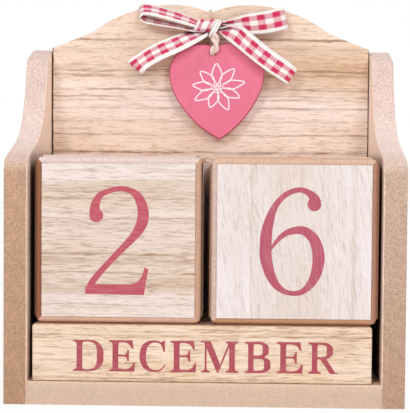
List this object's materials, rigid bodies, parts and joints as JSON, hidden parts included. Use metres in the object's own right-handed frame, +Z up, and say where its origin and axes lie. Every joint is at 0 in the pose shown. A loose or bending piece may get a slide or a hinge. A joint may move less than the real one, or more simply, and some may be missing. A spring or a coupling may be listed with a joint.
{
  "type": "perpetual desk calendar",
  "caption": "Wooden perpetual desk calendar: open tray with two date cubes, three month bars below, and a heart pendant on a ribbon bow.",
  "frame": {"origin": "middle of the tray's underside, halfway between the side panels and between the front and rear edges", "axes": "+X to the reader's right, +Y from the front to the back panel, +Z up"},
  "size_m": [0.12, 0.0584, 0.1248],
  "materials": {
    "tray_board": "bare pressed board with soft sanded edges",
    "back_board": "bare pale wood, grain running across",
    "cube_core": "bare core board, rounded edges",
    "cube_face": "pale wood squares with printed digits",
    "month_bar": "bare pale wood with printed month names",
    "print_ink": "thin matt dusky red print",
    "heart_paint": "satin pink paint on wood",
    "gingham_ribbon": "woven check ribbon, pink and white with white edges",
    "twine": "twisted natural twine",
    "brad_steel": "small flush brad heads"
  },
  "bodies": {
    "tray": {"base_board": "tray_board", "left_side_panel": "tray_board", "right_side_panel": "tray_board", "back_panel": "back_board", "side_panel_brads": "brad_steel", "back_panel_brads": "brad_steel", "hanging_twine": "twine", "bow_knot": "gingham_ribbon", "bow_left_loop": "gingham_ribbon", "bow_right_loop": "gingham_ribbon", "bow_left_tail": "gingham_ribbon", "bow_right_tail": "gingham_ribbon"},
    "left_cube": {"left_cube_core": "cube_core", "left_cube_face_0": "cube_face", "left_cube_face_1": "cube_face", "left_cube_face_2": "cube_face", "left_cube_face_3": "cube_face", "left_cube_face_4": "cube_face", "left_cube_face_5": "cube_face"},
    "right_cube": {"right_cube_core": "cube_core", "right_cube_face_0": "cube_face", "right_cube_face_1": "cube_face", "right_cube_face_2": "cube_face", "right_cube_face_6": "cube_face", "right_cube_face_7": "cube_face", "right_cube_face_8": "cube_face"},
    "month_bar_rear": {"month_bar_rear": "month_bar"},
    "month_bar_middle": {"month_bar_middle": "month_bar"},
    "month_bar_front": {"month_bar_front": "month_bar"},
    "heart": {"heart_pendant": "heart_paint", "pendant_twine": "twine"}
  },
  "joints": [
    {"name": "left_cube_slide", "type": "slide", "parent": "tray", "child": "left_cube", "axis": [0, -1, 0], "range_m": [0, 0.052]},
    {"name": "right_cube_slide", "type": "slide", "parent": "tray", "child": "right_cube", "axis": [0, -1, 0], "range_m": [0, 0.052]},
    {"name": "month_bar_rear_slide", "type": "slide", "parent": "tray", "child": "month_bar_rear", "axis": [0, -1, 0], "range_m": [0, 0.052]},
    {"name": "month_bar_middle_slide", "type": "slide", "parent": "month_bar_rear", "child": "month_bar_middle", "axis": [0, -1, 0], "range_m": [0, 0.035]},
    {"name": "month_bar_front_slide", "type": "slide", "parent": "month_bar_middle", "child": "month_bar_front", "axis": [0, -1, 0], "range_m": [0, 0.018]},
    {"name": "heart_swing", "type": "hinge", "parent": "tray", "child": "heart", "pos_m": [0.0007, 0.0202, 0.1145], "axis": [0, 1, 0], "range_deg": [-10, 10]}
  ]
}
